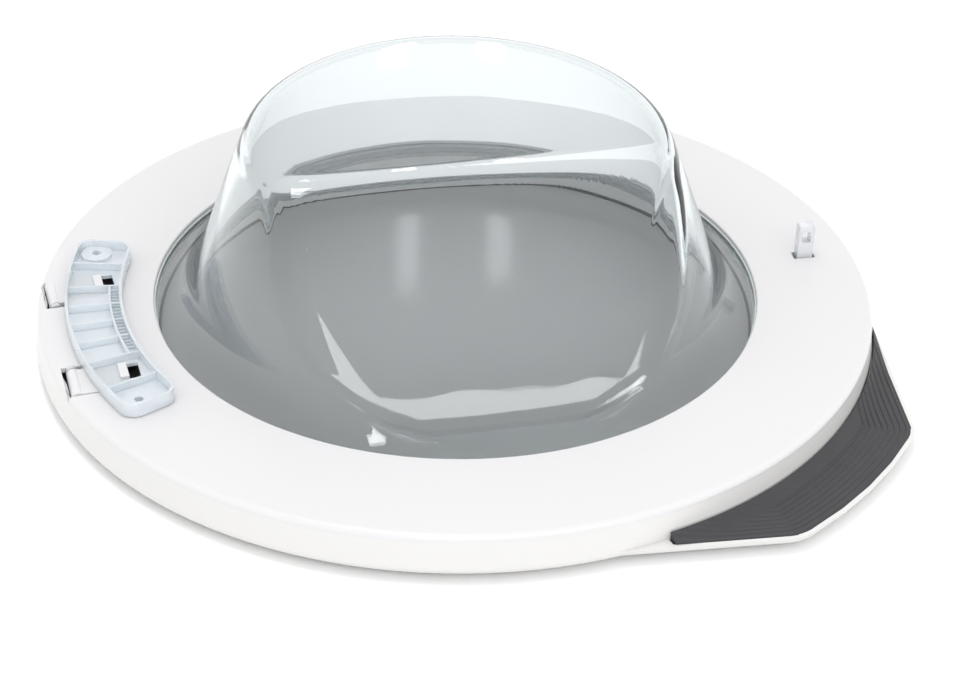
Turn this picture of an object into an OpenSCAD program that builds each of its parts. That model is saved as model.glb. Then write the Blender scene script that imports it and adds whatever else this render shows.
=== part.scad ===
// Door of a front-loading washing machine, shown with its machine side up.
// The outer face rests on z = 0, and the Z axis is the axis of the round frame.
// The hinge is at -X and the latch hook at +X. The bowl is deepest toward +Y.

/* [Frame] */
// Outer radius of the round frame at the seam
ring_r = 228; // [210:1:280]
// Width of the flat band between the frame's edge and the opening
band_w = 62.5; // [58:0.5:76]
// Height from the outer face to the back face
frame_h = 27; // [26:0.5:34]
// Height of the back frame's rim above the seam
rim_h = 3.6; // [3:0.1:4.4]
// Wall thickness of the moulded frames
skin_t = 2.6; // [2:0.1:3.2]
// Rounding of the outer face's edge
edge_r = 6; // [5:0.5:7.5]
// Rounding of the back rim
rim_r = 3; // [2:0.1:3.4]
// How far the side band swells past the seam
side_bulge = 1.6; // [0:0.1:3]
// How far the outer face's edge is set back from its front
face_rise = 3.5; // [2:0.1:4.5]

/* [Window and inner ring] */
// Thickness of the outer window
window_t = 4; // [3:0.1:5]
// Thickness of the frame's lip in front of the window
lip_t = 1.6; // [1.2:0.1:2]
// Width of the lip inside the opening
lip_w = 5; // [4:0.1:6]
// Height of the gasket on the window
gasket_h = 1.2; // [1:0.1:2]
// Radius of the inner ring's screw shanks
ring_screw_r = 1.4; // [1.1:0.1:1.7]
// Number of inner ring screws
ring_screws = 8; // [4:1:12]

/* [Glass bowl] */
// Thickness of the pressed glass
glass_t = 5.2; // [4:0.1:6.4]
// Height of the bowl's deep side above the back face
bowl_h = 103; // [84:1:122]
// Distance from the opening's edge to the bowl's wall
shoulder_w = 22; // [20:0.5:26]
// Height above the back face at which that distance is measured
shoulder_h = 11.5; // [10:0.5:14]
// Draft of the bowl's wall, in degrees
bowl_draft = 20; // [12:1:22]
// Rounding between the wall and the top
bowl_top_r = 20; // [14:1:26]
// Rounding between the flange and the wall
shoulder_r = 22; // [18:0.5:24]
// Slope of the end face, in degrees
face_slope = 49.6; // [44:0.2:54]
// Distance from the bowl's wall in to the foot of the end face
face_in = 14.2; // [8:0.1:24]
// Direction of the end face, turned from -Y, in degrees
face_turn = -4; // [-12:1:12]
// Rounding at the foot of the end face
face_foot_r = 6; // [4:1:12]
// Width of the flat run at the end face's foot
face_flat_w = 68; // [56:1:80]
// Radius of the two lower corners of the end face
face_corner_r = 67; // [60:1:72]
// Rounding between the end face and the top
ridge_r = 25; // [16:1:34]
// Slope of the top up to the bowl's deep side, in degrees
top_slope = 4; // [0:0.5:5]
// Thickness of the rubber seal in front of the flange
seal_t = 2; // [1.4:0.1:2.6]
// Thickness of the seal's thin leg behind the flange
seal_leg = 0.8; // [0.5:0.1:1.2]

/* [Handle] */
// How far the wing's outer edge stands past the frame's edge
wing_out = 36; // [30:1:50]
// Rounding of the wing's two corners
wing_corner_r = 24; // [18:1:30]
// Direction of the wing's straight edge nearer the latch, in degrees
wing_side_a = -12; // [-20:1:-10]
// Direction of the wing's other straight edge, in degrees
wing_side_b = -98.4; // [-104:0.1:-94]
// How far that second edge is set in from the frame's edge
wing_inset_b = 4; // [2:0.1:6]
// Height of the wing's lip
lip_top_h = 9.4; // [8:0.1:11]
// Width of the white lip around the grip
wing_lip_w = 1.7; // [1.2:0.1:2.4]
// Floor thickness of the wing
wing_floor_t = 2.4; // [2:0.1:3]
// Height of the grip against the frame's side
grip_inner_h = 14; // [12:0.5:17]
// Height of the grip at the wing's outer edge
grip_outer_h = 9.2; // [8:0.1:10.5]
// Number of ribs on the grip
grip_ribs = 7; // [4:1:9]

/* [Hinge] */
// Depth of the hinge pins below the back face
pin_drop = 2.2; // [2.1:0.1:2.8]
// Distance from the frame's edge to the hinge pins
pin_in = 12.5; // [12:0.1:15]
// Radius of the hinge pins
hinge_pin_r = 1.6; // [1.3:0.05:1.7]
// Radius of the arms' barrels
barrel_r = 3.4; // [3:0.05:4]
// Distance from the middle of the hinge to the middle of an arm
arm_y = 45; // [44:0.5:54]
// Width of an arm
arm_w = 23; // [19:0.5:28]
// Thickness of an arm's neck
neck_t = 5; // [4:0.1:6]
// Width of the leaf
leaf_w = 30.5; // [26:0.5:37]
// Height of the leaf
leaf_h = 7.5; // [6:0.1:10]
// Half of the angle that the leaf spans, in degrees
leaf_half_a = 24.2; // [22:0.1:26]
// Distance between the leaf's two screw holes
leaf_hole_pitch = 149; // [140:0.5:180]
// Radius of the leaf's screw holes
leaf_hole_r = 2.3; // [1.8:0.1:2.8]
// Wall thickness of the clear moulding
leaf_wall = 1.6; // [1.2:0.1:2]

/* [Latch] */
// Distance from the frame's edge to the hook
latch_in = 28.8; // [26:0.1:34]
// Direction of the hook from the middle of the door, in degrees
latch_a = -6.5; // [-12:0.5:12]
// Width of the hook
hook_w = 8.8; // [7.5:0.1:10.5]
// Thickness of the hook
hook_t = 6; // [5:0.1:7.2]
// Height of the hook above the back face
hook_h = 20; // [18:0.5:24]
// Width of the hook's window
hook_window_w = 5; // [4.6:0.1:6]
// Height of the hook's window
hook_window_h = 6.5; // [5:0.1:7.8]
// Radius of the hook's pin
latch_pin_r = 1.5; // [1.3:0.05:1.9]

/* [Hidden] */
$fn = 128;

// Clearances: a running fit on the pins, a loose gap between mouldings, and one between moving pieces
run_gap = 0.05;
fit_gap = 0.3;
move_gap = 0.5;
// How far a cutting shape reaches past the face it cuts
cut = 1;
far = 400;
arc_steps = 8;

// Frame
opening_r = ring_r - band_w;
seam_z = frame_h - rim_h;
side_r = ring_r + side_bulge;
plate_z = frame_h - skin_t;
side_in_r = ring_r - skin_t;
tongue_t = 2;
tongue_h = 4;
tongue_r = side_in_r - fit_gap;
opening_edge_r = 1;

// Window, gasket, inner ring and seal, stacked from the outer face to the back frame
lip_r = opening_r - lip_w;
window_flange_r = opening_r + 1.5;
gasket_w = 2;
gasket_r = window_flange_r + gasket_w;
gasket_top_z = window_t + gasket_h;
gasket_in_r = opening_r - 3;
face_flat_r = gasket_r + 3;
flange_top_z = plate_z - seal_leg;
flange_low_z = flange_top_z - glass_t;
ring_top_z = flange_low_z - seal_t;
flange_r = opening_r + 8;
ring_in_r = opening_r - 1.5;
ring_wall_t = 2.4;
ring_base_t = 2;
ring_base_r = opening_r + 17;
ring_screw_at_r = ring_base_r - 4.5;
skirt_r = flange_r + 1.8;
boss_wall = 2.2;

// Bowl
bowl_r = opening_r - shoulder_w;
bowl_base_z = frame_h + shoulder_h;
bowl_top_z = frame_h + bowl_h;
top_cz = bowl_top_z - bowl_top_r;
top_cr = bowl_r - (bowl_top_r + (top_cz - bowl_base_z) * sin(bowl_draft)) / cos(bowl_draft);
shoulder_cz = flange_top_z + shoulder_r;
shoulder_cr = bowl_r + (shoulder_r - (shoulder_cz - bowl_base_z) * sin(bowl_draft)) / cos(bowl_draft);

// The bowl's end face in a section through its deep side: where its slope and the top's slope would
// cross Y = 0, and the centres of its two rounds. The foot's round runs a little way into the flange
foot_sink = 0.2;
face_low_z = flange_top_z - foot_sink;
face_foot_y = face_in - bowl_r;
face_at_0 = face_low_z - face_foot_y * tan(face_slope);
top_skim = 0.4;
top_at_0 = bowl_top_z - top_skim - top_cr * tan(top_slope);
foot_cy = face_foot_y - face_foot_r * tan(face_slope / 2);
foot_cz = face_low_z + face_foot_r;
ridge_cy = (top_at_0 - ridge_r / cos(top_slope) - face_at_0 + ridge_r / cos(face_slope))
    / (tan(face_slope) - tan(top_slope));
ridge_cz = top_at_0 + ridge_cy * tan(top_slope) - ridge_r / cos(top_slope);

// Wing
wing_r = ring_r + wing_out;
wing_dist_a = ring_r + 1;
wing_dist_b = ring_r - wing_inset_b;
wing_foot_r = 6;
corner_at_r = wing_r - wing_corner_r;
corner_a = wing_side_a - acos((wing_dist_a - wing_corner_r) / corner_at_r);
corner_b = wing_side_b + acos((wing_dist_b - wing_corner_r) / corner_at_r);
corner_steps = 4;
grip_end_a = -21;
grip_end_b = -79.5;
grip_gap = 0.2;
rib_h = 0.6;
rib_w = 1.1;
rib_pitch = 3.1;

// Hinge
pin_x = -(ring_r - pin_in);
pin_z = frame_h - pin_drop;
leaf_z = frame_h + move_gap;
// the leaf's outer edge is as far inside the pin as its underside is above it, so it clears the rim at 90 degrees
leaf_out_r = ring_r - pin_in - (leaf_z - pin_z);
leaf_in_r = leaf_out_r - leaf_w;
leaf_floor_t = 2;
leaf_pad_t = 4;
leaf_cap_r = 8;
leaf_mid_r = leaf_out_r - leaf_w / 2;
leaf_hole_x = -(leaf_mid_r + 4) * cos(asin(leaf_hole_pitch / 2 / (leaf_mid_r + 4)));
arm_in_y = arm_y - arm_w / 2;
arm_out_y = arm_y + arm_w / 2;
lug_t = 2.5;
pin_head_l = 1;
pin_seat_l = 6.5;
pin_start_y = arm_in_y - move_gap - lug_t - pin_head_l;
pin_len = arm_out_y + move_gap + pin_seat_l - pin_start_y;
pin_boss_wall = 3;
leaf_window_w = 9.4;
leaf_window_l = 14;
leaf_window_x = -(leaf_mid_r - 10.5);
hook_tab_t = 3;
hook_tab_nose = 1.5;
neck_end_x = leaf_window_x - leaf_window_w / 2 + fit_gap + hook_tab_t;
slot_x = pin_x - barrel_r - 2.2;
slot_end_x = leaf_window_x + leaf_window_w / 2 + 2;
slot_low_z = plate_z - cut;
barrel_room_r = barrel_r + 0.8;
bracket_t = 2;
bracket_z = pin_z - 11;
bracket_start_x = pin_x + 1;
bracket_l = 33;
bracket_screw_r = 1.4;
bracket_screw_len = 8;
bracket_screw_x = [pin_x + 10, pin_x + 28];
bracket_screw_y = 14;

// Latch
latch_r = ring_r - latch_in;
latch_top_z = frame_h + hook_h;
latch_pin_z = frame_h - 10;
housing_w = 30;
housing_floor_z = 8;
housing_wall = 3;
hook_head_t = 3.8;
latch_slot_w = hook_w + 3.4;
latch_slot_l = hook_t + 1.2;
spring_wire_r = 0.5;
spring_turns = 3;
spring_pitch = spring_wire_r * 2.4;
spring_start_y = hook_t / 2 + 0.7;
spring_end_y = spring_start_y + spring_turns * spring_pitch;
spring_r = latch_pin_r + spring_wire_r + 0.5;
spring_leg_l = 5.5;
housing_l = 2 * (spring_end_y + 2 * spring_wire_r + housing_wall);
latch_screw_r = 1.3;
latch_screw_x = 11.5;
latch_screw_grip = 8;

// Points on an arc in a profile, from angle a0 to angle a1
function arc(cx, cy, r, a0, a1) =
    [for (i = [0 : arc_steps]) let (a = a0 + (a1 - a0) * i / arc_steps) [cx + r * cos(a), cy + r * sin(a)]];

// A cylinder along Y, from y0 to y0 + len
module y_rod(r, y0, len, x, z)
{
    translate([x, y0, z]) rotate([-90, 0, 0]) cylinder(r = r, h = len);
}

// A box given by its low and high corners
module block(lo, hi)
{
    translate(lo) cube([hi.x - lo.x, hi.y - lo.y, hi.z - lo.z]);
}

// A pan-head screw whose head is below the joint and whose shank points up
module screw_up(shank_r, shank_len, head_r, head_t)
{
    cylinder(r = shank_r, h = shank_len);
    translate([0, 0, -head_t]) cylinder(r = head_r, h = head_t);
}

// The same child at the upper and the lower arm
module both_arms()
{
    children();
    mirror([0, 1, 0]) children();
}

// One rounded disc of the wing, with its lower edge rounded
module wing_disc(r, top_z)
{
    profile = concat(
        [[0, top_z], [0, face_rise]],
        arc(r - edge_r, face_rise + edge_r - 0.5, edge_r - 0.5, -90, 0),
        [[r, top_z]]
    );
    rotate_extrude($fn = 48) polygon(profile);
}

// Outline of the wing, made smaller all round by inset
module wing_block(inset, top_z)
{
    hull()
    {
        for (i = [0 : corner_steps])
            rotate(corner_b + (corner_a - corner_b) * i / corner_steps)
                translate([corner_at_r, 0, 0])
                    wing_disc(wing_corner_r - inset, top_z);
        rotate(wing_side_a)
            translate([wing_dist_a - wing_foot_r * 2, 0, 0]) wing_disc(wing_foot_r * 2 - inset, top_z);
        rotate(wing_side_b)
            translate([wing_dist_b - wing_foot_r * 2, 0, 0]) wing_disc(wing_foot_r * 2 - inset, top_z);
    }
}

// A wedge between two directions, open upward, for trimming the wing
module wedge(a0, a1, z0, z1)
{
    mid = (a0 + a1) / 2;
    translate([0, 0, z0]) linear_extrude(z1 - z0)
        polygon([
            [0, 0],
            [far * cos(a0), far * sin(a0)],
            [far * 1.3 * cos(mid), far * 1.3 * sin(mid)],
            [far * cos(a1), far * sin(a1)]
        ]);
}

module front_frame_shell()
{
    profile = concat(
        [[lip_r, 0], [face_flat_r, 0]],
        arc(side_r - edge_r, face_rise + edge_r, edge_r, -90, 0),
        [[ring_r, seam_z], [side_in_r, seam_z]],
        arc(side_r - edge_r, face_rise + edge_r, edge_r - skin_t, 0, -90),
        [[face_flat_r, skin_t], [gasket_r + fit_gap, skin_t], [gasket_r + fit_gap, lip_t], [lip_r, lip_t]]
    );
    rotate_extrude() polygon(profile);
}

module front_frame()
{
    color([0.95, 0.95, 0.96]) difference()
    {
        union()
        {
            front_frame_shell();
            difference()
            {
                wing_block(0, lip_top_h);
                cylinder(r = ring_r - 1, h = frame_h * 2, center = true);
            }
            for (i = [0 : ring_screws - 1])
                rotate((i + 0.5) * 360 / ring_screws)
                    translate([ring_screw_at_r, 0, lip_t])
                        cylinder(r = ring_screw_r + boss_wall, h = gasket_top_z - lip_t);
        }
        difference()
        {
            wing_block(wing_lip_w, frame_h);
            translate([0, 0, face_rise - far]) cylinder(r = far, h = far + wing_floor_t);
            cylinder(r = side_r + fit_gap, h = frame_h * 2, center = true);
            wedge(grip_end_b - 90, grip_end_b, -cut, frame_h + cut);
            wedge(grip_end_a, grip_end_a + 90, -cut, frame_h + cut);
        }
        for (i = [0 : ring_screws - 1])
            rotate((i + 0.5) * 360 / ring_screws)
                translate([ring_screw_at_r, 0, lip_t + cut]) cylinder(r = ring_screw_r, h = frame_h);
        both_arms()
        {
            y_rod(barrel_room_r, arm_in_y - move_gap, arm_w + 2 * move_gap, pin_x, pin_z);
            y_rod(hinge_pin_r + fit_gap, pin_start_y, pin_len + fit_gap, pin_x, pin_z);
        }
    }
}

module handle_grip()
{
    ribs_from = corner_at_r - 4;
    color([0.23, 0.23, 0.24]) difference()
    {
        intersection()
        {
            wing_block(wing_lip_w + grip_gap, frame_h);
            union()
            {
                rotate_extrude() polygon([
                    [side_r + 2 * fit_gap, face_rise + wing_floor_t],
                    [wing_r, face_rise + wing_floor_t],
                    [wing_r, grip_outer_h],
                    [corner_at_r, grip_outer_h + 0.8],
                    [side_r + 2 * fit_gap, grip_inner_h]
                ]);
                for (i = [0 : grip_ribs - 1])
                    rib(ribs_from + i * rib_pitch);
            }
        }
        wedge(grip_end_b - 90, grip_end_b + 0.1, -cut, frame_h + cut);
        wedge(grip_end_a - 0.1, grip_end_a + 90, -cut, frame_h + cut);
    }
}

// One raised rib that follows the wing's edge
module rib(r)
{
    half_a = 14;
    rotate((corner_a + corner_b) / 2 - half_a)
        rotate_extrude(angle = 2 * half_a)
            translate([r, grip_outer_h - 2]) square([rib_w, 2.4 + rib_h]);
}

module front_window()
{
    color([0.45, 0.46, 0.48, 0.7])
    {
        cylinder(r = lip_r - fit_gap, h = window_t);
        translate([0, 0, lip_t]) cylinder(r = window_flange_r, h = window_t - lip_t);
    }
}

module window_gasket()
{
    color([0.2, 0.2, 0.21]) rotate_extrude() polygon([
        [gasket_in_r, window_t],
        [window_flange_r, window_t],
        [window_flange_r, lip_t],
        [gasket_r, lip_t],
        [gasket_r, gasket_top_z],
        [gasket_in_r, gasket_top_z]
    ]);
}

module inner_ring()
{
    color([0.94, 0.94, 0.95]) difference()
    {
        rotate_extrude() polygon([
            [ring_in_r, gasket_top_z],
            [ring_base_r, gasket_top_z],
            [ring_base_r, gasket_top_z + ring_base_t],
            [ring_in_r + ring_wall_t, gasket_top_z + ring_base_t],
            [ring_in_r + ring_wall_t, ring_top_z - ring_base_t],
            [flange_r, ring_top_z - ring_base_t],
            [flange_r, ring_top_z],
            [ring_in_r, ring_top_z]
        ]);
        for (i = [0 : ring_screws - 1])
            rotate((i + 0.5) * 360 / ring_screws)
                translate([ring_screw_at_r, 0, 0]) cylinder(r = ring_screw_r, h = frame_h);
    }
}

module inner_ring_screws()
{
    shank = ring_base_t + gasket_top_z - lip_t - cut;
    color("silver") for (i = [0 : ring_screws - 1])
        rotate((i + 0.5) * 360 / ring_screws)
            translate([ring_screw_at_r, 0, gasket_top_z + ring_base_t])
                mirror([0, 0, 1]) screw_up(ring_screw_r, shank, ring_screw_r + 1.4, 1.6);
}

module bowl_seal()
{
    color([0.85, 0.86, 0.86]) rotate_extrude() polygon([
        [opening_r - 0.5, ring_top_z],
        [flange_r + 1.2, ring_top_z],
        [flange_r + 1.2, plate_z],
        [opening_r - 0.7, plate_z],
        [opening_r - 0.7, flange_top_z],
        [flange_r, flange_top_z],
        [flange_r, flange_low_z],
        [opening_r - 0.5, flange_low_z]
    ]);
}

// The bowl as a solid of revolution, before its end face is sloped. inset is the depth below the outside
module bowl_solid(inset)
{
    profile = concat(
        [[0, 0], [0, bowl_top_z - inset]],
        arc(top_cr, top_cz, bowl_top_r - inset, 90, bowl_draft),
        arc(shoulder_cr, shoulder_cz, shoulder_r + inset, 180 + bowl_draft, 270),
        [[shoulder_cr, 0]]
    );
    rotate_extrude() polygon(profile);
}

// Everything below the end face and the sloping top. inset is the depth below the outside
module below_face(inset)
{
    outline = concat(
        [[-far, -far], [-far, face_low_z - inset]],
        arc(foot_cy, foot_cz, face_foot_r + inset, 270, 270 + face_slope),
        arc(ridge_cy, ridge_cz, ridge_r - inset, 90 + face_slope, 90 + top_slope),
        [[far, top_at_0 + far * tan(top_slope) - inset / cos(top_slope)], [far, -far]]
    );
    rotate([90, 0, 90 + face_turn]) linear_extrude(2 * far, center = true) polygon(outline);
}

// Everything below the trough that rounds the end face's two lower corners
module below_corners(inset)
{
    corner_cx = face_flat_w / 2;
    corner_cz = face_low_z + face_corner_r;
    outline = concat(
        [[-far, -far], [-far, corner_cz]],
        arc(-corner_cx, corner_cz, face_corner_r + inset, 180, 270),
        arc(corner_cx, corner_cz, face_corner_r + inset, 270, 360),
        [[far, corner_cz], [far, -far]]
    );
    rotate([90, 0, face_turn]) linear_extrude(2 * far, center = true) polygon(outline);
}

module glass_bowl()
{
    color([0.86, 0.9, 0.91, 0.35]) difference()
    {
        union()
        {
            intersection()
            {
                bowl_solid(0);
                union()
                {
                    below_face(0);
                    below_corners(0);
                }
                translate([0, 0, flange_low_z]) cylinder(r = far, h = far);
            }
            translate([0, 0, flange_low_z]) cylinder(r = flange_r, h = glass_t);
        }
        intersection()
        {
            bowl_solid(glass_t);
            union()
            {
                below_face(glass_t);
                below_corners(glass_t);
            }
        }
    }
}

// The slot that an arm lies in, with room for its barrel to turn and for the bracket's lug beside it
module arm_slot()
{
    block(
        [slot_x, arm_in_y - move_gap - lug_t - move_gap, slot_low_z],
        [slot_end_x, arm_out_y + move_gap, frame_h + cut]
    );
    y_rod(barrel_room_r, arm_in_y - move_gap, arm_w + 2 * move_gap, pin_x, pin_z);
}

module back_frame_shell()
{
    profile = concat(
        [[opening_r, plate_z]],
        arc(opening_r + opening_edge_r, frame_h - opening_edge_r, opening_edge_r, 180, 90),
        arc(ring_r - rim_r, frame_h - rim_r, rim_r, 90, 0),
        [
            [ring_r, seam_z], [tongue_r, seam_z], [tongue_r, seam_z - tongue_h],
            [tongue_r - tongue_t, seam_z - tongue_h], [tongue_r - tongue_t, plate_z],
            [skirt_r + 2, plate_z], [skirt_r + 2, ring_top_z - 1],
            [skirt_r, ring_top_z - 1], [skirt_r, plate_z]
        ]
    );
    rotate_extrude() polygon(profile);
}

module back_frame()
{
    color([0.96, 0.96, 0.97]) difference()
    {
        union()
        {
            back_frame_shell();
            // solid bosses that hold the pins' outer ends
            both_arms() intersection()
            {
                block(
                    [pin_x - far, arm_out_y + move_gap, pin_z - hinge_pin_r - pin_boss_wall],
                    [pin_x + 8, arm_out_y + move_gap + pin_seat_l + pin_boss_wall, plate_z + cut]
                );
                cylinder(r = tongue_r, h = frame_h);
            }
            both_arms() for (x = bracket_screw_x)
                translate([x, bracket_screw_y, bracket_z + bracket_t])
                    cylinder(r = bracket_screw_r + boss_wall, h = plate_z - bracket_z - bracket_t + cut);
            rotate(latch_a) for (s = [-1, 1])
                translate([latch_r + s * latch_screw_x, 0, housing_floor_z + housing_wall])
                    cylinder(r = latch_screw_r + boss_wall, h = plate_z - housing_floor_z - housing_wall + cut);
        }
        both_arms() arm_slot();
        both_arms() y_rod(hinge_pin_r + run_gap, pin_start_y, pin_len, pin_x, pin_z);
        both_arms() for (x = bracket_screw_x)
            translate([x, bracket_screw_y, 0]) cylinder(r = bracket_screw_r, h = plate_z - cut);
        rotate(latch_a) for (s = [-1, 1])
            translate([latch_r + s * latch_screw_x, 0, 0]) cylinder(r = latch_screw_r, h = plate_z - cut);
        rotate(latch_a) translate([latch_r, 0, frame_h])
            cube([latch_slot_w, latch_slot_l, frame_h], center = true);
    }
}

// The leaf's outline as a solid of a given height, made smaller all round by inset
module leaf_body(inset, z0, h)
{
    cap_a = asin((leaf_cap_r + 0.1) / leaf_mid_r);
    sweep_a = leaf_half_a - cap_a;
    cap_r = leaf_cap_r - inset;
    translate([0, 0, z0])
    {
        rotate(180 - sweep_a) rotate_extrude(angle = 2 * sweep_a)
            translate([leaf_in_r + inset, 0]) square([leaf_w - 2 * inset, h]);
        for (s = [-1, 1]) rotate(180 + s * sweep_a)
        {
            translate([leaf_in_r + leaf_cap_r + 0.1, -cap_r, 0])
                cube([leaf_w - 2 * leaf_cap_r - 0.2, 2 * cap_r, h]);
            translate([leaf_in_r + leaf_cap_r + 0.1, 0, 0]) cylinder(r = cap_r, h = h);
            translate([leaf_out_r - leaf_cap_r - 0.1, 0, 0]) cylinder(r = cap_r, h = h);
        }
    }
}

// The stiffening ribs inside the leaf
module leaf_ribs()
{
    rib_t = 1.2;
    cross_h = leaf_h - leaf_floor_t - 1.2;
    floor_z = leaf_z + leaf_floor_t - 0.1;
    for (a = [-17.5, -10.5, -5, 0, 5, 10.5, 17.5])
        rotate(180 + a) translate([leaf_in_r + 1, -rib_t / 2, floor_z])
            cube([leaf_w - 2, rib_t, cross_h]);
    rotate(180 - 10.5) rotate_extrude(angle = 21)
        translate([leaf_in_r + 6, floor_z]) square([rib_t, cross_h]);
    for (a = [-9.5 : 1 : 9.5])
        rotate(180 + a) translate([leaf_in_r + 1, -rib_t / 4, floor_z]) cube([5.5, rib_t / 2, cross_h - 1]);
}

module leaf_hole_at(s)
{
    translate([leaf_hole_x, s * leaf_hole_pitch / 2, 0]) children();
}

module hinge_leaf()
{
    color([0.78, 0.87, 0.95, 0.6]) difference()
    {
        union()
        {
            difference()
            {
                leaf_body(0, leaf_z, leaf_h);
                leaf_body(leaf_wall, leaf_z + leaf_floor_t, leaf_h);
            }
            difference()
            {
                leaf_ribs();
                both_arms() block(
                    [
                        leaf_window_x - leaf_window_w / 2 - 2 * hook_tab_nose,
                        arm_y - leaf_window_l / 2 - cut,
                        leaf_z + leaf_floor_t
                    ],
                    [
                        leaf_window_x + leaf_window_w / 2 + cut,
                        arm_y + leaf_window_l / 2 + cut,
                        leaf_z + leaf_h + cut
                    ]
                );
            }
            for (s = [-1, 1]) leaf_hole_at(s)
                translate([0, 0, leaf_z + leaf_floor_t - 0.1]) cylinder(r = 8.5, h = leaf_pad_t - leaf_floor_t + 0.1);
        }
        for (s = [-1, 1]) leaf_hole_at(s)
            translate([0, 0, leaf_z - cut]) cylinder(r = leaf_hole_r, h = leaf_h + 2 * cut);
        both_arms() block(
            [leaf_window_x - leaf_window_w / 2, arm_y - leaf_window_l / 2, leaf_z - cut],
            [leaf_window_x + leaf_window_w / 2, arm_y + leaf_window_l / 2, leaf_z + leaf_floor_t + cut]
        );
    }
}

// The white arm: a barrel on the pin, a neck under the leaf, and a tab that hooks over the window's edge
module hinge_arm()
{
    tab_y = leaf_window_l / 2 - fit_gap;
    tab_top_z = leaf_z + leaf_floor_t + hook_tab_nose;
    color([0.95, 0.95, 0.96]) difference()
    {
        union()
        {
            y_rod(barrel_r, arm_in_y, arm_w, pin_x, pin_z);
            block([pin_x, arm_in_y, leaf_z - neck_t], [neck_end_x, arm_out_y, leaf_z]);
            block(
                [neck_end_x - hook_tab_t, arm_y - tab_y, leaf_z - cut],
                [neck_end_x, arm_y + tab_y, tab_top_z]
            );
            block(
                [neck_end_x - hook_tab_t - hook_tab_nose, arm_y - tab_y, leaf_z + leaf_floor_t],
                [neck_end_x, arm_y + tab_y, tab_top_z]
            );
        }
        y_rod(hinge_pin_r + run_gap, arm_in_y - cut, arm_w + 2 * cut, pin_x, pin_z);
    }
}

module hinge_pins()
{
    color("silver") both_arms() y_rod(hinge_pin_r, pin_start_y, pin_len, pin_x, pin_z);
}

module hinge_bracket()
{
    lug_y = arm_in_y - move_gap - lug_t;
    color([0.7, 0.72, 0.74]) difference()
    {
        union()
        {
            block(
                [bracket_start_x, -lug_y - lug_t, bracket_z],
                [bracket_start_x + bracket_l, lug_y + lug_t, bracket_z + bracket_t]
            );
            both_arms()
            {
                block([pin_x - barrel_r, lug_y, bracket_z], [pin_x + barrel_r, lug_y + lug_t, pin_z]);
                y_rod(barrel_r, lug_y, lug_t, pin_x, pin_z);
            }
        }
        both_arms() y_rod(hinge_pin_r + run_gap, lug_y - cut, lug_t + 2 * cut, pin_x, pin_z);
        both_arms() for (x = bracket_screw_x)
            translate([x, bracket_screw_y, 0]) cylinder(r = bracket_screw_r, h = frame_h);
    }
}

module bracket_screws()
{
    color("silver") both_arms() for (x = bracket_screw_x)
        translate([x, bracket_screw_y, bracket_z]) screw_up(bracket_screw_r, bracket_screw_len, 3, 1.8);
}

// The latch pieces are drawn with the hook on +X and turned to its direction
module latch_hook()
{
    window_top_z = latch_top_z - hook_head_t;
    color([0.8, 0.84, 0.87, 0.6]) rotate(latch_a) difference()
    {
        union()
        {
            block(
                [latch_r - hook_w / 2, -hook_t / 2, latch_pin_z],
                [latch_r + hook_w / 2, hook_t / 2, latch_top_z]
            );
            y_rod(hook_w / 2 + 0.1, -hook_t / 2, hook_t, latch_r, latch_pin_z);
        }
        y_rod(latch_pin_r + run_gap, -hook_t, 2 * hook_t, latch_r, latch_pin_z);
        block(
            [latch_r - hook_window_w / 2, -hook_t, window_top_z - hook_window_h],
            [latch_r + hook_window_w / 2, hook_t, window_top_z]
        );
    }
}

module latch_pin()
{
    color("silver") rotate(latch_a)
        y_rod(latch_pin_r, -housing_l / 2, housing_l, latch_r, latch_pin_z);
}

// A coil of round wire around the Y axis, starting at y = 0
module coil(r, wire_r, pitch, turns)
{
    sides = 8;
    steps = 16 * turns;
    rings = [for (i = [0 : steps]) let (a = 360 * turns * i / steps) [
        for (j = [0 : sides - 1]) let (b = 360 * j / sides, d = r + wire_r * cos(b))
            [d * cos(a), pitch * a / 360 + wire_r * sin(b), d * sin(a)]
    ]];
    points = [for (ring = rings) for (p = ring) p];
    walls = [for (i = [0 : steps - 1]) for (j = [0 : sides - 1]) let (k = (j + 1) % sides)
        [i * sides + j, (i + 1) * sides + j, (i + 1) * sides + k, i * sides + k]];
    first_cap = [[for (j = [0 : sides - 1]) j]];
    last_cap = [[for (j = [0 : sides - 1]) steps * sides + sides - 1 - j]];
    polyhedron(points, concat(walls, first_cap, last_cap), convexity = 6);
}

// The return spring beside the hook, with one leg along the hook and one toward the housing's floor
module latch_spring()
{
    // the legs are a little thicker than the wire and start inside it, so they join the coil
    leg_r = spring_wire_r * 1.05;
    overlap = 0.3;
    color([0.75, 0.76, 0.78]) rotate(latch_a) translate([latch_r, 0, latch_pin_z])
    {
        translate([0, spring_start_y, 0]) coil(spring_r, spring_wire_r, spring_pitch, spring_turns);
        translate([spring_r, spring_start_y, -overlap]) cylinder(r = leg_r, h = spring_leg_l + overlap, $fn = 32);
        translate([spring_r, spring_end_y, -spring_leg_l]) cylinder(r = leg_r, h = spring_leg_l + overlap, $fn = 32);
    }
}

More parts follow.
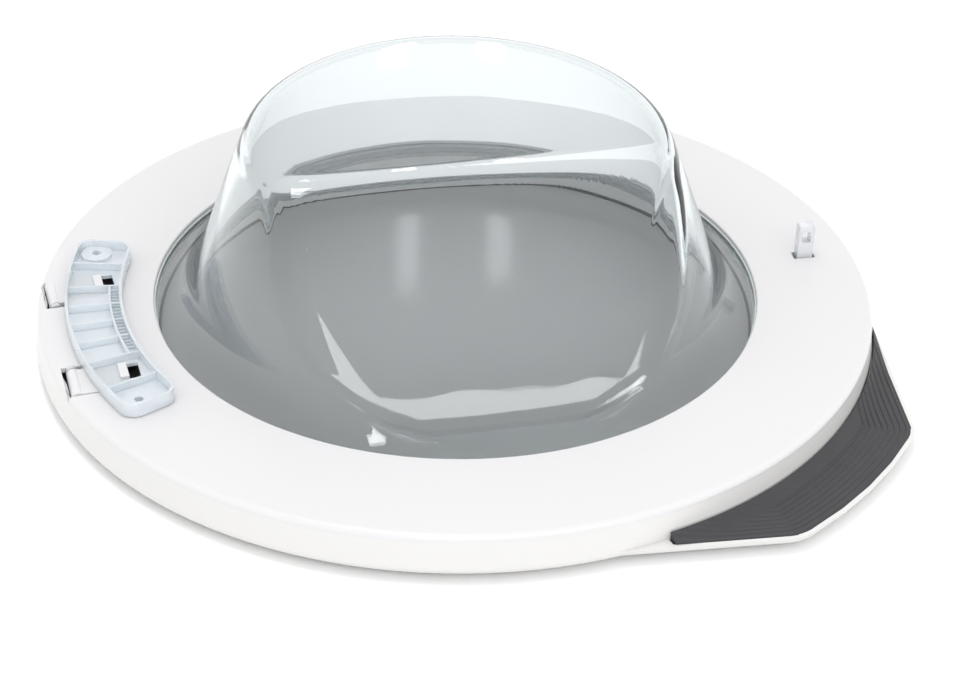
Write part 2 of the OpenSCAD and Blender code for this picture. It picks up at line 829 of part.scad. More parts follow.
module latch_housing()
{
    room_l = housing_l - 2 * housing_wall;
    room_w = hook_w + 6;
    color([0.85, 0.85, 0.86]) rotate(latch_a) difference()
    {
        block(
            [latch_r - housing_w / 2, -housing_l / 2, housing_floor_z],
            [latch_r + housing_w / 2, housing_l / 2, plate_z]
        );
        block(
            [latch_r - room_w / 2, -room_l / 2, housing_floor_z + housing_wall],
            [latch_r + room_w / 2, room_l / 2, plate_z + cut]
        );
        y_rod(latch_pin_r + run_gap, -housing_l, 2 * housing_l, latch_r, latch_pin_z);
        for (s = [-1, 1]) translate([latch_r + s * latch_screw_x, 0, housing_floor_z + housing_wall])
            cylinder(r = latch_screw_r + boss_wall + 0.1, h = frame_h);
        for (s = [-1, 1]) translate([latch_r + s * latch_screw_x, 0, 0])
            cylinder(r = latch_screw_r, h = frame_h);
    }
}

module latch_screws()
{
    color("silver") rotate(latch_a) for (s = [-1, 1])
        translate([latch_r + s * latch_screw_x, 0, housing_floor_z])
            screw_up(latch_screw_r, housing_wall + latch_screw_grip, 2.8, 1.6);
}

front_frame();
handle_grip();
front_window();
window_gasket();
inner_ring();
inner_ring_screws();
bowl_seal();
glass_bowl();
back_frame();
hinge_leaf();
hinge_arm();  // hinge_arm_upper
mirror([0, 1, 0]) hinge_arm();  // hinge_arm_lower
hinge_pins();
hinge_bracket();
bracket_screws();
latch_hook();
latch_pin();
latch_spring();
latch_housing();
latch_screws();
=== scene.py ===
# %% [markdown]
# # The door of a front-loading washing machine, seen from its machine side
#
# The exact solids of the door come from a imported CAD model, which is the fixed frame of this scene:
# every object is in metres, in one shared set of axes, and nothing has to be fitted by eye.
# Here the frame is loaded, looked at, and given its finishes. The two pieces whose soft shapes matter
# most, the glass bowl and the ribbed grip, are modelled again with Blender's own tools.

from math import acos, atan2, cos, hypot, pi, radians, sin, sqrt, tan

import bpy
from mathutils import Matrix, Vector


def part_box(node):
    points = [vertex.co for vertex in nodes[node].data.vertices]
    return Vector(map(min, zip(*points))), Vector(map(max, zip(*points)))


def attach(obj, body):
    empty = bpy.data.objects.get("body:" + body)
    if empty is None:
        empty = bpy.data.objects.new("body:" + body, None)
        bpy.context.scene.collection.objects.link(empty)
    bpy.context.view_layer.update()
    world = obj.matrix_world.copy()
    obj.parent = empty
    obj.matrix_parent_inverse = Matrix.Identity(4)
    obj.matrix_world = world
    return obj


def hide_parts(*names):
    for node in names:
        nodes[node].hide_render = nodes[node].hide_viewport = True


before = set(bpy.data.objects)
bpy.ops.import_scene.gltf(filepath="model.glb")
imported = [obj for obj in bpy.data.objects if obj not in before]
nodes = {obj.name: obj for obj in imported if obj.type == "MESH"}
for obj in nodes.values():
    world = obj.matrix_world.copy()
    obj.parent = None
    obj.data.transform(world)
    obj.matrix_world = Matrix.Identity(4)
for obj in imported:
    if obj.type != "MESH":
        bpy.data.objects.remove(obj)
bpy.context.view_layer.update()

MM = 0.001

# %% [markdown]
# ## Where the pieces are
#
# A piece that is modelled again must fill the space of its CAD solid, so its sizes are read from the
# solids' boxes wherever a box gives them. The other sizes are the design's own, in metres.

# %% Measure the solids that new pieces replace
frame_low, frame_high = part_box("back_frame")
bowl_low, bowl_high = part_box("glass_bowl")
ring_r = frame_high.x
frame_top = frame_high.z
flange_r = bowl_high.x
flange_low_z = bowl_low.z
bowl_top_z = bowl_high.z
print("frame radius", round(ring_r, 4), "back face at", round(frame_top, 4))
print("bowl flange radius", round(flange_r, 4), "bowl top at", round(bowl_top_z, 4))

# %% [markdown]
# ## The camera
#
# The door lies flat and is seen from above at a shallow angle, from the side of its corner grip.
# A long lens from about 1.2 metres keeps the round frame's perspective gentle. The camera is placed by
# three directions: where it looks, what it calls right, and what it calls up. A small roll is turned in.

# %% Place the camera
camera_at = Vector((-0.2897, -0.9960, 0.6619))
looking = Vector((0.2451, 0.8016, -0.5452)).normalized()
roll = radians(1.07)
level_right = looking.cross(Vector((0, 0, 1))).normalized()
level_up = level_right.cross(looking)
camera_right = cos(roll) * level_right + sin(roll) * level_up
camera_up = cos(roll) * level_up - sin(roll) * level_right

camera_data = bpy.data.cameras.new("camera")
camera_data.lens = 82.4
camera_data.sensor_width = 36
camera = bpy.data.objects.new("camera", camera_data)
bpy.context.scene.collection.objects.link(camera)
axes = Matrix((camera_right, camera_up, -looking)).transposed()
camera.matrix_world = Matrix.Translation(camera_at) @ axes.to_4x4()
bpy.context.scene.camera = camera
print("the camera is", round(camera_at.length, 2), "m from the door's centre")

# %% [markdown]
# ## The stage and its light
#
# A plain pale floor and a white surround give the bright, nearly shadowless light of a product table.
# Glass shows what surrounds it, so two narrow upright lights stand behind the door: they draw the soft
# bars that lie on the window. A wide softbox above and behind the camera is mirrored low on the bowl's
# sloping face as a bright patch. Another softbox hangs overhead, and a white world does the rest.

# %% Lay the floor
bpy.ops.object.select_all(action="DESELECT")
bpy.ops.mesh.primitive_plane_add(size=12, location=(0, 0, 0))
floor = bpy.context.object
floor.name = "floor"


# %% Hang the lights
def area_light(name, at, aim, width, height, watts, roll=0):
    """A flat rectangular light at a point, turned to face another point and rolled by some degrees"""
    data = bpy.data.lights.new(name, "AREA")
    data.shape = "RECTANGLE"
    data.size = width
    data.size_y = height
    data.energy = watts
    light = bpy.data.objects.new(name, data)
    bpy.context.scene.collection.objects.link(light)
    light.location = at
    facing = (Vector(aim) - Vector(at)).to_track_quat("-Z", "Y").to_matrix()
    light.rotation_euler = (facing @ Matrix.Rotation(radians(roll), 3, "Z")).to_euler()
    return light


area_light("top_softbox", (-0.2, 0.1, 2.0), (0, 0, 0), 0.6, 0.5, 8)
area_light("front_softbox", (-0.06, -1.57, 1.17), (-0.34, -0.33, -0.1), 1.4, 0.5, 8, roll=-12)
area_light("left_bar", (0.73, 2.91, 1.66), (0, 0, 0), 0.05, 0.3, 0.36)
area_light("right_bar", (0.93, 2.85, 1.64), (0, 0, 0), 0.05, 0.3, 0.36)

world = bpy.data.worlds.new("studio")
bpy.context.scene.world = world
world.use_nodes = True
world.node_tree.nodes["Background"].inputs["Color"].default_value = (1, 1, 1, 1)
world.node_tree.nodes["Background"].inputs["Strength"].default_value = 1.05
bpy.context.scene.view_settings.view_transform = "Standard"

# %% [markdown]
# ## Writing a finish as an expression
#
# A procedural material is a small calculation over the surface. Two helpers keep it readable. `Varying`
# wraps one output of a node, so that `+`, `-`, `*` and `/` add the Math node that does that sum, and
# plain numbers may stand on either side. `Finish` starts a material and adds any other kind of node.


# %% A value that varies over a surface
class Varying:
    def __init__(self, finish, socket):
        self.finish = finish
        self.socket = socket

    def _math(self, operation, first, second):
        return self.finish.node("ShaderNodeMath", {"operation": operation}, {0: first, 1: second})

    def __add__(self, other):
        return self._math("ADD", self, other)

    def __radd__(self, other):
        return self._math("ADD", other, self)

    def __sub__(self, other):
        return self._math("SUBTRACT", self, other)

    def __rsub__(self, other):
        return self._math("SUBTRACT", other, self)

    def __mul__(self, other):
        return self._math("MULTIPLY", self, other)

    def __rmul__(self, other):
        return self._math("MULTIPLY", other, self)

    def __truediv__(self, other):
        return self._math("DIVIDE", self, other)


# %% A material under construction
class Finish:
    def __init__(self, name, **sockets):
        self.material = bpy.data.materials.new(name)
        self.material.use_nodes = True
        self.tree = self.material.node_tree
        self.surface = self.tree.nodes["Principled BSDF"]
        for socket, value in sockets.items():
            self.set(socket.replace("_", " "), value)

    def set(self, socket, value):
        """Sets a socket of the surface, or links it to a varying value"""
        self._put(self.surface.inputs[socket], value)

    def _put(self, socket, value):
        """Links a socket to a varying value, or writes a plain value into it"""
        if isinstance(value, Varying):
            self.tree.links.new(value.socket, socket)
        else:
            socket.default_value = value

    def node(self, kind, settings=None, inputs=None, output=0):
        """Adds a node with its settings and its inputs' values, and gives back one of its outputs"""
        made = self.tree.nodes.new(kind)
        for name, value in (settings or {}).items():
            setattr(made, name, value)
        for name, value in (inputs or {}).items():
            self._put(made.inputs[name], value)
        return Varying(self, made.outputs[output])

    def place(self):
        """The point on the piece, in metres in the shared frame"""
        return self.node("ShaderNodeTexCoord", output="Object")

    def noise(self, size, detail=2.0, roughness=0.5):
        """Cloudy noise from 0 to 1 whose patches are about this many metres across"""
        inputs = {"Vector": self.place(), "Scale": 1 / size, "Detail": detail, "Roughness": roughness}
        return self.node("ShaderNodeTexNoise", {"noise_dimensions": "3D"}, inputs, output="Fac")

    def mix(self, factor, colour_a, colour_b):
        """A colour between two colours"""
        inputs = {"Factor": factor, 6: (*colour_a, 1), 7: (*colour_b, 1)}
        return self.node("ShaderNodeMix", {"data_type": "RGBA"}, inputs, output=2)

    def bump(self, height, distance, strength=1.0):
        """Small relief: height is from 0 to 1, and distance is how deep 1 is, in metres"""
        inputs = {"Height": height, "Distance": distance, "Strength": strength}
        self.set("Normal", self.node("ShaderNodeBump", inputs=inputs, output="Normal"))


# %% [markdown]
# ## White moulded plastic
#
# The frame is glossy ABS. Such a moulding is never a perfect mirror: its skin has a faint waviness
# from the mould, called orange peel, and its gloss changes a little from place to place.


# %% White plastic
def white_plastic(name, colour, shade, gloss):
    """Glossy white ABS, from its colour to a slightly deeper shade, with a roughness of about gloss"""
    finish = Finish(name, IOR=1.53)
    cloud = finish.noise(0.09, detail=3)
    finish.set("Base Color", finish.mix(cloud, colour, shade))
    finish.set("Roughness", gloss + 0.03 * finish.noise(0.012, detail=4))
    finish.bump(finish.noise(0.0035, detail=2), 0.00001, 0.5)
    return finish.material


frame_white = white_plastic("frame_white", (0.69, 0.685, 0.695), (0.675, 0.67, 0.68), 0.2)
front_white = white_plastic("front_white", (0.70, 0.695, 0.684), (0.685, 0.68, 0.67), 0.24)
# The inner ring is the same white plastic as the frame, but its colour is painted lighter: the extra
# light stands in for light on a wall that sits in shade inside the opening.
painted_light_wall_white = white_plastic("painted_light_wall_white", (0.84, 0.845, 0.85), (0.81, 0.815, 0.82), 0.3)

# %% [markdown]
# ## Glass
#
# The bowl is thick pressed glass. Its colour isn't on the surface but inside, as Volume Absorption: one
# wall takes away a few hundredths of the light, red a little more than the rest, and a long path along
# the flange takes away far more.


# %% Pressed glass
def pressed_glass():
    """Glass with a slightly uneven skin and a faint blue-green body"""
    finish = Finish("pressed_glass", Base_Color=(1, 1, 1, 1), IOR=1.5, Transmission_Weight=1.0)
    finish.set("Roughness", 0.004 + 0.012 * finish.noise(0.03, detail=3))
    finish.bump(finish.noise(0.05, detail=1), 0.00025, 0.5)
    tint = finish.tree.nodes.new("ShaderNodeVolumeAbsorption")
    tint.inputs["Color"].default_value = (0.78, 0.86, 0.88, 1)
    tint.inputs["Density"].default_value = 60
    output = finish.tree.nodes["Material Output"]
    finish.tree.links.new(tint.outputs["Volume"], output.inputs["Volume"])
    return finish.material


bowl_glass = pressed_glass()

# %% [markdown]
# ## The smoked window
#
# The window is tinted plastic that hardly shows the room in it. Specular IOR Level turns its mirror
# down without making it dull: it stays nearly smooth, so what it does reflect keeps its shape.


# %% Smoked window
def smoked_plastic():
    """Nearly smooth grey plastic with a weak mirror"""
    finish = Finish("smoked_plastic", IOR=1.49, Specular_IOR_Level=0.08)
    darker, lighter = (0.375, 0.375, 0.38), (0.405, 0.405, 0.41)
    finish.set("Base Color", finish.mix(finish.noise(0.16), darker, lighter))
    finish.set("Roughness", 0.05 + 0.03 * finish.noise(0.02, detail=4))
    return finish.material


window_smoke = smoked_plastic()

# %% [markdown]
# ## Rubber and silicone
#
# Both are soft and matt. The window's gasket is black. The bowl's seal is pale silicone, which lets a
# little light in under its skin: Subsurface Weight spreads that light over a few millimetres.


# %% Dark rubber
def rubber():
    """Black matt rubber"""
    finish = Finish("seal_rubber", IOR=1.5)
    darker, lighter = (0.02, 0.02, 0.022), (0.045, 0.045, 0.05)
    finish.set("Base Color", finish.mix(finish.noise(0.004, detail=4), darker, lighter))
    finish.set("Roughness", 0.5 + 0.2 * finish.noise(0.006, detail=4))
    finish.bump(finish.noise(0.0008, detail=3), 0.00005)
    return finish.material


seal_rubber = rubber()


# %% Pale silicone
def silicone():
    """Pale silicone that lets a little light in under its skin"""
    finish = Finish("pale_silicone", IOR=1.43, Subsurface_Weight=0.2, Subsurface_Scale=0.004)
    darker, lighter = (0.70, 0.72, 0.72), (0.78, 0.79, 0.79)
    finish.set("Base Color", finish.mix(finish.noise(0.006, detail=4), darker, lighter))
    finish.set("Roughness", 0.4 + 0.15 * finish.noise(0.004, detail=4))
    finish.bump(finish.noise(0.0009, detail=3), 0.00003)
    return finish.material


seal_silicone = silicone()

# %% [markdown]
# ## Clear mouldings
#
# The hinge leaf and the hook are clear plastic with an uneven skin. A Transmission Weight below 1
# mixes clear refraction with a pale, milky body, which is how ribs stacked behind each other look.


# %% Clear mouldings
def clear_plastic(name, tint):
    """Clear moulding with a milky body of this tint, and a glossy coat"""
    finish = Finish(name, Base_Color=(*tint, 1), IOR=1.5, Transmission_Weight=0.42, Coat_Weight=0.6)
    finish.set("Roughness", 0.05 + 0.1 * finish.noise(0.004, detail=4))
    finish.bump(finish.noise(0.006, detail=2), 0.00008)
    return finish.material


leaf_clear = clear_plastic("leaf_clear", (0.90, 0.955, 1.0))
hook_clear = clear_plastic("hook_clear", (0.90, 0.92, 0.95))

# %% [markdown]
# ## Steel, grip, housing and floor
#
# Zinc plate has small crystals, so its colour and roughness both vary over a few millimetres. The
# grip is a dark satin plastic with a spark-eroded grain, which is bump of less than a tenth of a
# millimetre. The housing is plain grey, and the floor is matt paint.


# %% Steel
def zinc_steel():
    """Zinc-plated steel"""
    finish = Finish("zinc_steel", Metallic=1.0)
    darker, lighter = (0.62, 0.63, 0.64), (0.78, 0.79, 0.80)
    finish.set("Base Color", finish.mix(finish.noise(0.004, detail=5), darker, lighter))
    finish.set("Roughness", 0.28 + 0.2 * finish.noise(0.002, detail=4))
    finish.bump(finish.noise(0.0006, detail=3), 0.00002)
    return finish.material


pin_steel = zinc_steel()


# %% Dark grip
def grip_plastic():
    """Dark satin plastic with a fine grain"""
    finish = Finish("grip_plastic", IOR=1.5)
    darker, lighter = (0.030, 0.030, 0.033), (0.042, 0.042, 0.046)
    finish.set("Base Color", finish.mix(finish.noise(0.02, detail=4), darker, lighter))
    finish.set("Roughness", 0.42 + 0.12 * finish.noise(0.004, detail=4))
    finish.bump(finish.noise(0.0007, detail=2), 0.00005)
    return finish.material


grip_dark = grip_plastic()


# %% Grey housing
def grey_plastic():
    """Plain grey plastic"""
    finish = Finish("housing_grey", IOR=1.5)
    darker, lighter = (0.40, 0.40, 0.41), (0.46, 0.46, 0.47)
    finish.set("Base Color", finish.mix(finish.noise(0.01, detail=4), darker, lighter))
    finish.set("Roughness", 0.4 + 0.15 * finish.noise(0.003, detail=4))
    finish.bump(finish.noise(0.0008, detail=2), 0.00004)
    return finish.material


housing_grey = grey_plastic()


# %% Floor paint
def floor_paint():
    """Matt white paint"""
    finish = Finish("floor_paint", Roughness=0.9)
    lighter, darker = (0.95, 0.95, 0.95), (0.94, 0.94, 0.94)
    finish.set("Base Color", finish.mix(finish.noise(0.8), lighter, darker))
    return finish.material


# %% [markdown]
# ## Who wears what
#
# Every CAD node gets one of these finishes by name. Whatever isn't in the table is a steel fitting.


# %% Give each CAD piece its finish
def wear(piece, material):
    """The piece shows this material all over"""
    piece.data.materials.clear()
    piece.data.materials.append(material)


wear(floor, floor_paint())
finish_of = {
    "front_frame": front_white,
    "back_frame": frame_white,
    "inner_ring": painted_light_wall_white,
    "hinge_arm_upper": frame_white,
    "hinge_arm_lower": frame_white,
    "handle_grip": grip_dark,
    "front_window": window_smoke,
    "window_gasket": seal_rubber,
    "bowl_seal": seal_silicone,
    "glass_bowl": bowl_glass,
    "hinge_leaf": leaf_clear,
    "latch_hook": hook_clear,
    "latch_housing": housing_grey,
}
for name, node in nodes.items():
    wear(node, finish_of.get(name, pin_steel))
print("finishes given to", len(nodes), "CAD nodes")

# %% [markdown]
# ## The glass bowl
#
# The real bowl is pressed in one shot: a round dome whose near side is cut off by a sloping face, with
# generous rounds everywhere. Here its outer profile is spun about the door's axis. The sloping face is
# then pressed into the dome by lowering each point of it to a rounded corner between dome and face.
# The face's two lower corners are kept round by a shallow trough that runs under it. A Solidify
# modifier gives the glass its even wall, so light bends in it as it does in the real one.

# %% Sizes of the bowl
glass_t = 5.2 * MM
flange_edge_r = flange_r - 0.5 * MM
flange_top_z = flange_low_z + glass_t
draft = radians(20)
wall_r = ring_r - 84.5 * MM
wall_z = frame_top + 11.5 * MM
top_round = 20 * MM
foot_round = 22 * MM
# The wide round between dome and top takes a few millimetres off the height, so the dome starts higher
dome_top_z = bowl_top_z + 2.2 * MM
top_round_z = dome_top_z - top_round
top_round_r = wall_r - (top_round + (top_round_z - wall_z) * sin(draft)) / cos(draft)
foot_z = flange_top_z + foot_round
foot_r = wall_r + (foot_round - (foot_z - wall_z) * sin(draft)) / cos(draft)

# The sloping face and the tilted top, in a section whose s runs toward the bowl's deep side
face_turn = radians(-4)
deep_side = Vector((-sin(face_turn), cos(face_turn)))
across = Vector((cos(face_turn), sin(face_turn)))
face_slope = radians(49.6)
face_climb = tan(face_slope)
face_foot_s = -129.3 * MM
face_round = 6 * MM
ridge_round = 25 * MM
top_slope = radians(4)
top_climb = tan(top_slope)
top_skim = 0.4 * MM

# The trough under the face: half its flat width, the radius of its sides, and the sine of the angle
# at which the sides stop curving and run on straight
corner_flat = 34 * MM
corner_round = 67 * MM
steepest = 0.8

# How wide the blends are: between face and trough, at most this share of the height above the flange,
# and between dome and face, low down and at the top
fold_round = 3 * MM
fold_share = 0.8
edge_round_low = 8 * MM
edge_round_high = 16 * MM

# How finely the dome is divided
top_steps = 56
round_steps = 10
wall_steps = 40
flange_steps = 3
spin_steps = 256
bowl_merge = 1e-6
bowl_smooth = radians(50)
print("the glass is", round(glass_t / MM, 2), "mm thick and the dome starts from", round(dome_top_z, 4))


# %% The profile of the dome, from its axis to the flange's edge
def arc(centre, radius, start, end, steps):
    """Points on an arc in a profile of (distance from the axis, height)"""
    turn = [start + (end - start) * i / steps for i in range(steps + 1)]
    return [(centre[0] + radius * cos(a), centre[1] + radius * sin(a)) for a in turn]


def line(start, end, steps):
    """Points on a straight run, without its two ends"""
    return [
        (start[0] + (end[0] - start[0]) * i / steps, start[1] + (end[1] - start[1]) * i / steps)
        for i in range(1, steps)
    ]


crown = arc((top_round_r, top_round_z), top_round, pi / 2, draft, round_steps)
foot = arc((foot_r, foot_z), foot_round, pi + draft, 3 * pi / 2, round_steps)
profile = (
    line((0, dome_top_z), crown[0], top_steps)
    + crown
    + line(crown[-1], foot[0], wall_steps)
    + foot
    + line(foot[-1], (flange_edge_r, flange_top_z), flange_steps)
    + [(flange_edge_r, flange_top_z)]
)
print("the profile has", len(profile), "points")

# %% [markdown]
# ## Spinning a profile
#
# Spin sweeps the selected edges round an axis. After a full turn its last row lies on the first, so the
# doubles are merged. The profile stops short of the axis and leaves a small round hole. Grid Fill closes
# the hole with small squares, where a fan of thin triangles could show as a star in clear glass.


# %% Spin the profile
def empty_piece(name):
    """A new mesh object at the origin, alone in the selection"""
    bpy.ops.object.select_all(action="DESELECT")
    piece = bpy.data.objects.new(name, bpy.data.meshes.new(name))
    bpy.context.scene.collection.objects.link(piece)
    piece.select_set(True)
    bpy.context.view_layer.objects.active = piece
    return piece


bowl = empty_piece("bowl")
bowl.data.from_pydata(
    [(r, 0, z) for r, z in profile], [(i, i + 1) for i in range(len(profile) - 1)], []
)
bpy.ops.object.mode_set(mode="EDIT")
bpy.ops.mesh.select_all(action="SELECT")
bpy.ops.mesh.spin(steps=spin_steps, angle=2 * pi, center=(0, 0, 0), axis=(0, 0, 1))
bpy.ops.mesh.select_all(action="SELECT")
bpy.ops.mesh.remove_doubles(threshold=bowl_merge)
bpy.ops.mesh.select_all(action="DESELECT")
bpy.ops.mesh.select_mode(type="EDGE")
bpy.ops.object.mode_set(mode="OBJECT")

# The hole's edges are those with both ends on the profile's first point, give or take one hundredth
hole_r = profile[0][0] * 1.01
for edge in bowl.data.edges:
    edge.select = all(hypot(*bowl.data.vertices[v].co.xy) < hole_r for v in edge.vertices)
bpy.ops.object.mode_set(mode="EDIT")
bpy.ops.mesh.fill_grid(span=spin_steps // 4)
bpy.ops.object.mode_set(mode="OBJECT")
print("the spun dome has", len(bowl.data.vertices), "points")

# %% [markdown]
# ## A section drawn as a function
#
# The sloping face is straight across, so one section describes it. The section is a function that
# gives a height for each s: flange, round, slope, round, tilted top. Where two slopes meet, a circle
# touches both. It begins at its radius times the tangent of half the turn away from their crossing.


# %% The section of the sloping face
def top_height(s):
    """Height of the slightly tilted top above s"""
    return dome_top_z - top_skim + (s - top_round_r) * top_climb


foot_half = tan(face_slope / 2) * face_round
ridge_half = tan((face_slope - top_slope) / 2) * ridge_round
ridge_s = (top_height(0) - flange_top_z + face_foot_s * face_climb) / (face_climb - top_climb)
ridge_z = top_height(ridge_s)
print("the ridge is at s", round(ridge_s, 4), "and height", round(ridge_z, 4))


def face_height(s):
    """Height of the flange, the sloping face and the top above s, with a round at each change of slope"""
    foot_start = face_foot_s - foot_half
    foot_end = face_foot_s + foot_half * cos(face_slope)
    ridge_start = ridge_s - ridge_half * cos(face_slope)
    ridge_end = ridge_s + ridge_half * cos(top_slope)
    if s <= foot_start:
        return flange_top_z
    if s <= foot_end:
        return flange_top_z + face_round - sqrt(face_round**2 - (s - foot_start) ** 2)
    if s <= ridge_start:
        return flange_top_z + (s - face_foot_s) * face_climb
    if s <= ridge_end:
        centre_s = ridge_end + ridge_round * sin(top_slope)
        centre_z = top_height(ridge_end) - ridge_round * cos(top_slope)
        return centre_z + sqrt(max(0, ridge_round**2 - (s - centre_s) ** 2))
    return top_height(s)


# %% [markdown]
# ## Pressing one shape into another
#
# A Boolean would cut a hard edge with long thin triangles along it. Here the dome keeps its even mesh,
# and each point only moves straight down to where dome and face blend. That height is found by
# halving: try the middle, keep the half that still holds the answer, and repeat.


# %% Heights of the dome and of the trough
def dome_height(r):
    """Height of the dome above a point at this distance from the axis"""
    wall_top = top_round_r + top_round * cos(draft)
    wall_foot = foot_r - foot_round * cos(draft)
    if r <= top_round_r:
        return dome_top_z
    if r <= wall_top:
        return top_round_z + sqrt(max(0, top_round**2 - (r - top_round_r) ** 2))
    if r <= wall_foot:
        share = (r - wall_top) / (wall_foot - wall_top)
        high = top_round_z + top_round * sin(draft)
        low = foot_z - foot_round * sin(draft)
        return high + (low - high) * share
    if r < foot_r:
        return foot_z - sqrt(max(0, foot_round**2 - (foot_r - r) ** 2))
    return flange_top_z


def slope_of(height, at):
    """How steep a height is at a place, as the cosine that turns a drop into a true distance"""
    step = 0.2 * MM
    rise = (height(at + step) - height(at - step)) / (2 * step)
    return 1 / sqrt(1 + rise * rise)


def corner_height(t):
    """Height of the trough that keeps the face's two lower corners round, t across from its middle"""
    out = max(abs(t) - corner_flat, 0)
    curved = min(out, corner_round * steepest)
    rise = corner_round - sqrt(corner_round**2 - curved**2)
    return flange_top_z + rise + (out - curved) * steepest / sqrt(1 - steepest**2)


# %% Press the sloping face into the dome
height_halvings = 24
round_growth = 1.5


def pressed_height(x, y):
    """Height of the finished bowl above (x, y), where dome and face meet in a round"""
    r = hypot(x, y)
    s = deep_side.dot((x, y))
    t = across.dot((x, y))
    dome, plane, corner = dome_height(r), face_height(s), corner_height(t)

    # Face and trough meet in a hollow fold, which fades out where both come down to the flange
    face = max(plane, corner)
    fold = min(fold_round, (face - flange_top_z) * fold_share)
    if fold > abs(plane - corner):
        face += (fold - abs(plane - corner)) ** 2 / (4 * fold)

    # Dome and face meet in a round edge, which widens toward the top
    dome_cos = slope_of(dome_height, r)
    face_cos = slope_of(corner_height, t) if corner > plane else slope_of(face_height, s)
    share = (min(dome, face) - flange_top_z) / (dome_top_z - flange_top_z)
    edge_round = edge_round_low + (edge_round_high - edge_round_low) * max(share, 0) ** round_growth
    low, high = min(dome, face) - 2 * edge_round, min(dome, face)
    for _ in range(height_halvings):
        z = (low + high) / 2
        to_dome = (dome - z) * dome_cos
        to_face = (face - z) * face_cos
        close = max(edge_round - abs(to_dome - to_face), 0) / edge_round
        if min(to_dome, to_face) - close * close * edge_round / 4 > 0:
            low = z
        else:
            high = z
    return max(low, flange_top_z)


moved_by = 0.1 * MM
pressed = 0
for vertex in bowl.data.vertices:
    x, y, z = vertex.co
    if hypot(x, y) < foot_r:
        vertex.co.z = pressed_height(x, y)
        pressed += vertex.co.z < z - moved_by
print("the face moved", pressed, "points")
bowl.data.update()

# %% [markdown]
# ## A wall of even thickness
#
# Solidify copies the surface inward along its normals, so they must all point out of the bowl first.
# Even Thickness keeps the wall true where the surface bends. Inside an outer edge whose round is
# smaller than the wall the copy would fold over itself, so those rounds and blends are all wider.


# %% Give the glass its wall
bpy.ops.object.mode_set(mode="EDIT")
bpy.ops.mesh.select_all(action="SELECT")
bpy.ops.mesh.normals_make_consistent(inside=False)
bpy.ops.object.mode_set(mode="OBJECT")
up = sum(face.normal.z * face.area for face in bowl.data.polygons)
print("faces point", "up" if up > 0 else "down")
if up < 0:
    bpy.ops.object.mode_set(mode="EDIT")
    bpy.ops.mesh.flip_normals()
    bpy.ops.object.mode_set(mode="OBJECT")
wall = bowl.modifiers.new("wall", "SOLIDIFY")
wall.thickness = glass_t
wall.offset = -1
wall.use_even_offset = True
bpy.ops.object.modifier_apply(modifier=wall.name)
bpy.ops.object.shade_smooth_by_angle(angle=bowl_smooth)
wear(bowl, bowl_glass)
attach(bowl, "door")
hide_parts("glass_bowl")

# %% [markdown]
# ## The ribbed grip
#
# The grip fills the wing at the door's corner. Its ribs run parallel to the wing's outer edge and bend
# round its corners with it. A flat grid is laid over the wing so that every row of points keeps one
# distance from that edge: the rows are then lifted into ribs, and the surface is extruded down.

# %% Sizes of the wing's outline
wing_r = ring_r + 36 * MM
wing_round = 24 * MM
core_r = wing_r - wing_round
# Each straight edge of the core: its direction, its distance from the axis, and the side its corner is on
edge_a = (radians(-12), ring_r + 1 * MM - wing_round, -1)
edge_b = (radians(-98.4), ring_r - 4 * MM - wing_round, 1)
grip_start = radians(-79.3)
grip_end = radians(-21.2)
grip_side = 1.9 * MM
frame_side_r = ring_r + 2.2 * MM

# The pocket that the grip lies in: its floor, and the radius and the centre's height of its outer round
pocket_z = 5.95 * MM
pocket_round = 5.5 * MM
pocket_round_z = 9 * MM
radius_halvings = 30


def out_of_core(x, y):
    """Distance from a point to the outline's core: a disc cut by two straight edges"""
    turn = atan2(y, x)
    nearest = hypot(x, y) - core_r
    for edge_turn, distance, side in (edge_a, edge_b):
        corner_turn = edge_turn + side * acos(distance / core_r)
        if (turn - corner_turn) * side < 0:
            reach = x * cos(edge_turn) + y * sin(edge_turn) - distance
            past = (y * cos(edge_turn) - x * sin(edge_turn)) * side - sqrt(core_r**2 - distance**2)
            nearest = hypot(reach, max(past, 0)) if reach > 0 else max(nearest, reach)
    return nearest


def from_edge(turn, r):
    """How far in from the wing's edge a point lies"""
    return wing_round - out_of_core(r * cos(turn), r * sin(turn))


def radius_at(turn, depth):
    """The radius, in one direction, at which the wing's edge is this far away"""
    low, high = frame_side_r, wing_r
    if from_edge(turn, low) <= depth:
        return low
    for _ in range(radius_halvings):
        middle = (low + high) / 2
        if from_edge(turn, middle) > depth:
            low = middle
        else:
            high = middle
    return low


# %% Rows of the grip
rib_count = 8
first_rib = 2.2 * MM
rib_pitch = 3.1 * MM
rib_half = 0.75 * MM
rib_top = 0.35 * MM
rib_height = 0.45 * MM
plain_rows = 5
plain_pitch = 1.5 * MM
rows = [(grip_side, 0)]
for rib in range(rib_count):
    middle = grip_side + first_rib + rib * rib_pitch
    rows += [
        (middle - rib_half, 0),
        (middle - rib_top, rib_height),
        (middle + rib_top, rib_height),
        (middle + rib_half, 0),
    ]
rows += [(rows[-1][0] + step * plain_pitch, 0) for step in range(1, plain_rows + 1)]
columns = 260
print("the grip has", len(rows), "rows, the last", round(rows[-1][0], 4), "m inside the edge")

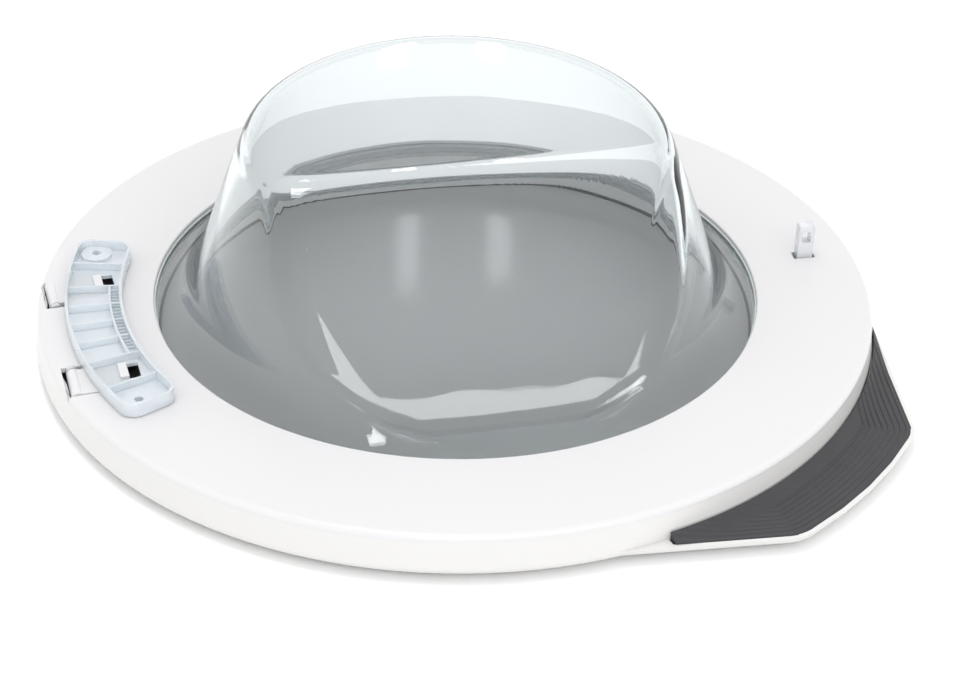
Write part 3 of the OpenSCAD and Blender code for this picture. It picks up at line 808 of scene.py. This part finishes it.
# %% [markdown]
# ## Laying a grid over a curved outline
#
# A grid starts as a flat square. Each point's two places in the square say which direction and which row
# it belongs to, and the point moves to where that row lies in that direction. Rows that would run under
# the frame's side stop at it and fall together, and are merged after the surface has been extruded.

# %% Lay the grid over the wing
grip_low_z = 9.4 * MM
grip_rise = 4.4 * MM
rise_growth = 1.5
fade_over = 1 * MM
edge_band = 3 * MM
edge_drop = 0.3 * MM
first_drop = 1 * MM
grip_merge = 2e-6
grip_smooth = radians(30)
bpy.ops.object.select_all(action="DESELECT")
bpy.ops.mesh.primitive_grid_add(x_subdivisions=columns, y_subdivisions=len(rows) - 1, size=2)
grip = bpy.context.object
grip.name = "grip"
for vertex in grip.data.vertices:
    turn = grip_start + (grip_end - grip_start) * (vertex.co.x + 1) / 2
    depth, lift = rows[round((vertex.co.y + 1) / 2 * (len(rows) - 1))]
    r = radius_at(turn, depth)
    rise = max(0, core_r - r) / (core_r - frame_side_r)
    fade = min(1, (r - frame_side_r) / fade_over)
    height = grip_low_z + grip_rise * rise**rise_growth + lift * fade
    if depth == grip_side and r >= wing_r - edge_band:
        height -= edge_drop
    vertex.co = (r * cos(turn), r * sin(turn), height)
print("the grid has", len(grip.data.vertices), "points")

# %% Extrude it down to the wing's floor
bpy.ops.object.mode_set(mode="EDIT")
bpy.ops.mesh.select_all(action="SELECT")
bpy.ops.mesh.extrude_region_move(TRANSFORM_OT_translate={"value": (0, 0, -first_drop)})
bpy.ops.object.mode_set(mode="OBJECT")
for vertex in grip.data.vertices:
    if vertex.select:
        inside = from_edge(atan2(vertex.co.y, vertex.co.x), hypot(*vertex.co.xy)) - grip_side
        inside = min(max(inside, 0), pocket_round)
        vertex.co.z = max(pocket_z, pocket_round_z - sqrt(inside * (2 * pocket_round - inside)))
bpy.ops.object.mode_set(mode="EDIT")
bpy.ops.mesh.select_all(action="SELECT")
bpy.ops.mesh.remove_doubles(threshold=grip_merge)
bpy.ops.mesh.normals_make_consistent(inside=False)
bpy.ops.object.mode_set(mode="OBJECT")
bpy.ops.object.shade_smooth_by_angle(angle=grip_smooth)
wear(grip, grip_dark)
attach(grip, "door")
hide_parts("handle_grip")
print("the grip has", len(grip.data.polygons), "faces")
